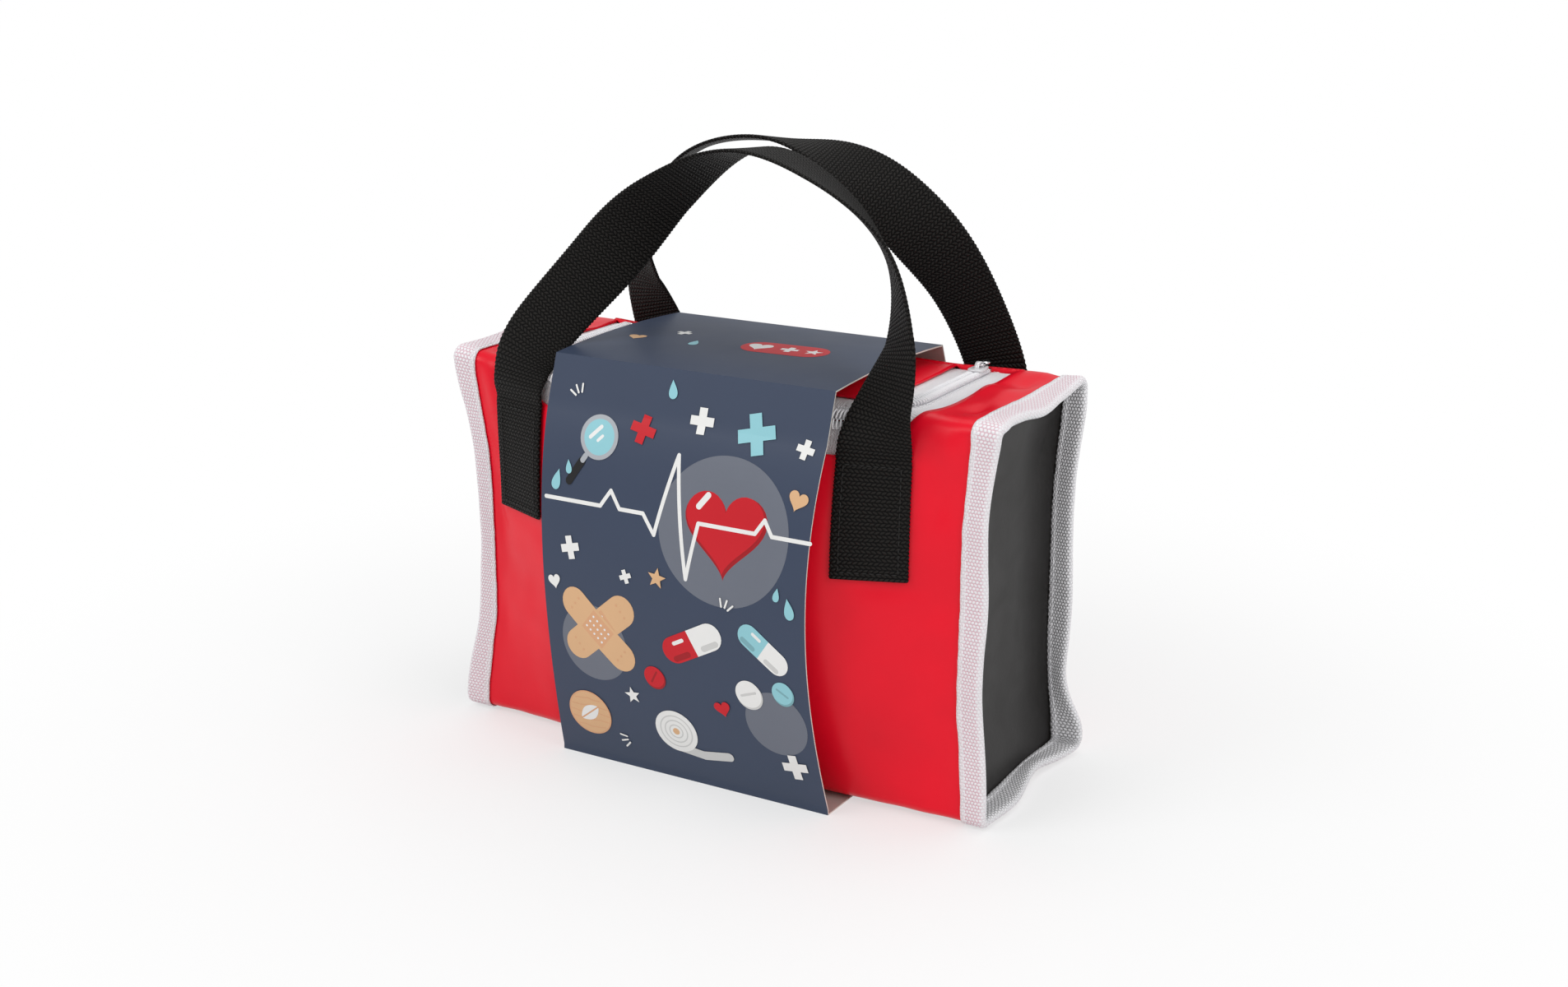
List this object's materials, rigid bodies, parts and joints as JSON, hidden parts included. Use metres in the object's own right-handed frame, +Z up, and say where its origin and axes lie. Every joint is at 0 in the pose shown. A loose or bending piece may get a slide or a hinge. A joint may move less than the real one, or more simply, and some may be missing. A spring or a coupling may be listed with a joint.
{
  "type": "toy doctor case",
  "caption": "Soft zipped toy doctor case with two webbing handles, a card sleeve and wooden play tools inside.",
  "frame": {"origin": "middle of the sleeve's bottom panel, the face that the case stands on", "axes": "+X along the case's length to its right end, -Y to the front, +Z up to the handles"},
  "size_m": [0.2616, 0.1429, 0.2676],
  "materials": {
    "red_fabric": "satin red coated cloth",
    "black_fabric": "satin black coated cloth",
    "white_tape": "white woven tape",
    "zip_coil": "white nylon coil",
    "zip_metal": "white lacquered zip metal",
    "black_webbing": "black woven webbing",
    "slate_card": "slate blue printed board",
    "wood": "plain beech",
    "red_paint": "gloss red paint on wood",
    "white_paint": "gloss white paint on wood",
    "turquoise_paint": "gloss turquoise paint on wood",
    "silver_paint": "silver paint on wood",
    "black_paint": "gloss black paint on wood",
    "plaster_felt": "skin-tone felt"
  },
  "bodies": {
    "case": {"body_wrap": "red_fabric", "end_panel_left": "black_fabric", "end_panel_right": "black_fabric", "binding_left": "white_tape", "binding_right": "white_tape", "zipper_tape_outer": "white_tape", "zipper_coil_outer": "zip_coil", "zipper_stop_left": "zip_metal", "zipper_stop_right": "zip_metal", "front_strap_foot_left": "black_webbing", "front_strap_foot_right": "black_webbing", "back_strap_foot_left": "black_webbing", "back_strap_foot_right": "black_webbing", "sleeve_card": "slate_card", "bottle_body": "turquoise_paint", "bottle_cap": "white_paint", "otoscope_head": "red_paint", "otoscope_grip": "wood", "syringe_barrel": "white_paint", "hammer_head": "black_paint", "hammer_handle": "silver_paint", "thermometer_body": "white_paint", "thermometer_cap": "red_paint", "tongue_depressor": "wood", "plaster_1": "plaster_felt", "plaster_2": "plaster_felt", "plaster_3": "plaster_felt", "stethoscope_arm_left": "wood", "stethoscope_arm_right": "wood", "stethoscope_ear_tip_left": "red_paint", "stethoscope_ear_tip_right": "red_paint", "stethoscope_hub": "red_paint", "stethoscope_chest_piece": "red_paint"},
    "front_handle": {"front_handle_arch": "black_webbing"},
    "back_handle": {"back_handle_arch": "black_webbing"},
    "lid": {"lid_panel": "red_fabric", "zipper_tape_inner": "white_tape", "zipper_coil_inner": "zip_coil"},
    "slider": {"zipper_slider": "zip_metal"},
    "pull": {"zipper_pull": "zip_metal"},
    "plunger": {"syringe_plunger": "wood"}
  },
  "joints": [
    {"name": "front_handle_swing", "type": "hinge", "parent": "case", "child": "front_handle", "pos_m": [0, -0.06107, 0.1535], "axis": [1, 0, 0], "range_deg": [0, 155]},
    {"name": "back_handle_swing", "type": "hinge", "parent": "case", "child": "back_handle", "pos_m": [0, 0.04802, 0.1535], "axis": [-1, 0, 0], "range_deg": [0, 155]},
    {"name": "lid_lift", "type": "hinge", "parent": "case", "child": "lid", "pos_m": [0, 0.0294, 0.1731], "axis": [-1, 0, 0], "range_deg": [0, 3.5], "deforming": ["zipper_tape_inner", "zipper_coil_inner"]},
    {"name": "zipper_slide", "type": "slide", "parent": "case", "child": "slider", "axis": [0, -1, 0], "range_m": [0, 0.045]},
    {"name": "pull_flip", "type": "hinge", "parent": "slider", "child": "pull", "pos_m": [0.09, 0.02379, 0.17564], "axis": [1, 0, 0], "range_deg": [0, 165]},
    {"name": "syringe_plunge", "type": "slide", "parent": "case", "child": "plunger", "axis": [1, 0, 0], "range_m": [0, 0.03]}
  ]
}
